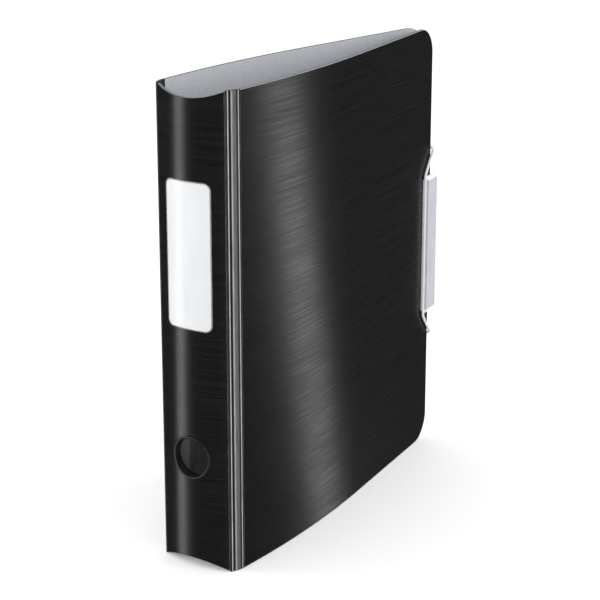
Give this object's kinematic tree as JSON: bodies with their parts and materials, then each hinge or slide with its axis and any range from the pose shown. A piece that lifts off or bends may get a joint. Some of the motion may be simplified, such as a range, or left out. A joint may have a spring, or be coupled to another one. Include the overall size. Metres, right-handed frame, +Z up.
{
  "type": "ring binder",
  "caption": "Upright A4 binder with a rounded spine, finger hole, label pocket, creased hinges, D-ring mechanism and an elastic pull-tab closure.",
  "frame": {"origin": "middle of the bounding box's bottom face; the binder stands on its bottom edges", "axes": "+Z up along the spine, +Y from the spine towards the fore-edge, +X from the back cover to the front cover"},
  "size_m": [0.0633, 0.2968, 0.318],
  "materials": {
    "black_film": "fine brushed texture, satin",
    "foam_grey": "foamed sheet, matte, finely speckled",
    "black_plastic": "moulded, semi-gloss",
    "clear_plastic": "clear film",
    "white_card": "smooth card",
    "nickel_steel": "nickel plated",
    "zinc_steel": "zinc plated, satin",
    "grey_nylon": "moulded",
    "white_elastic": "braided cord",
    "tab_plastic": "satin moulded"
  },
  "bodies": {
    "spine": {"spine_board": "foam_grey", "spine_skin": "black_film", "label_pocket": "clear_plastic", "label_card": "white_card", "finger_ring": "black_plastic", "finger_ring_clip": "black_plastic"},
    "front_strip": {"front_hinge_strip": "black_film"},
    "front_cover": {"front_board": "foam_grey", "front_skin": "black_film", "cord_anchors": "black_plastic"},
    "back_strip": {"back_hinge_strip": "black_film"},
    "back_cover": {"back_board": "foam_grey", "back_skin": "black_film", "ring_housing": "nickel_steel", "housing_spacers": "grey_nylon", "housing_rivets": "zinc_steel", "trigger_pin": "zinc_steel"},
    "curved_rings": {"spine_side_blade": "zinc_steel", "curved_ring_halves": "nickel_steel"},
    "straight_rings": {"fore_side_blade": "zinc_steel", "straight_ring_halves": "nickel_steel"},
    "trigger": {"trigger_lever": "nickel_steel", "trigger_pad": "black_plastic"},
    "closure": {"elastic_cord": "white_elastic", "cord_end_beads": "white_elastic", "tab_back": "tab_plastic", "tab_grip": "tab_plastic"}
  },
  "joints": [
    {"name": "front_strip_fold", "type": "hinge", "parent": "spine", "child": "front_strip", "pos_m": [0.0266, -0.14001, 0], "axis": [0, 0, -1], "range_deg": [0, 90]},
    {"name": "front_cover_fold", "type": "hinge", "parent": "front_strip", "child": "front_cover", "pos_m": [0.0292, -0.13245, 0], "axis": [0, 0, -1], "range_deg": [0, 90]},
    {"name": "back_strip_fold", "type": "hinge", "parent": "spine", "child": "back_strip", "pos_m": [-0.0266, -0.14001, 0], "axis": [0, 0, 1], "range_deg": [0, 90]},
    {"name": "back_cover_fold", "type": "hinge", "parent": "back_strip", "child": "back_cover", "pos_m": [-0.0292, -0.13245, 0], "axis": [0, 0, 1], "range_deg": [0, 90]},
    {"name": "trigger_press", "type": "hinge", "parent": "back_cover", "child": "trigger", "pos_m": [-0.02525, -0.09851, 0.022], "axis": [0, 1, 0], "range_deg": [0, 22]},
    {"name": "curved_rings_open", "type": "hinge", "parent": "back_cover", "child": "curved_rings", "pos_m": [-0.02685, -0.11111, 0.159], "axis": [0, 0, -1], "range_deg": [0, 17]},
    {"name": "straight_rings_open", "type": "hinge", "parent": "back_cover", "child": "straight_rings", "pos_m": [-0.02685, -0.08591, 0.159], "axis": [0, 0, 1], "range_deg": [0, 17]},
    {"name": "closure_swing", "type": "hinge", "parent": "front_cover", "child": "closure", "pos_m": [0.0002, 0.14429, 0.155], "axis": [0, 0, 1], "range_deg": [0, 150]}
  ],
  "couplings": [
    {"joint": "front_cover_fold", "follows": "front_strip_fold", "ratio": 1},
    {"joint": "back_cover_fold", "follows": "back_strip_fold", "ratio": 1},
    {"joint": "curved_rings_open", "follows": "trigger_press", "ratio": 0.77273},
    {"joint": "straight_rings_open", "follows": "trigger_press", "ratio": 0.77273}
  ]
}
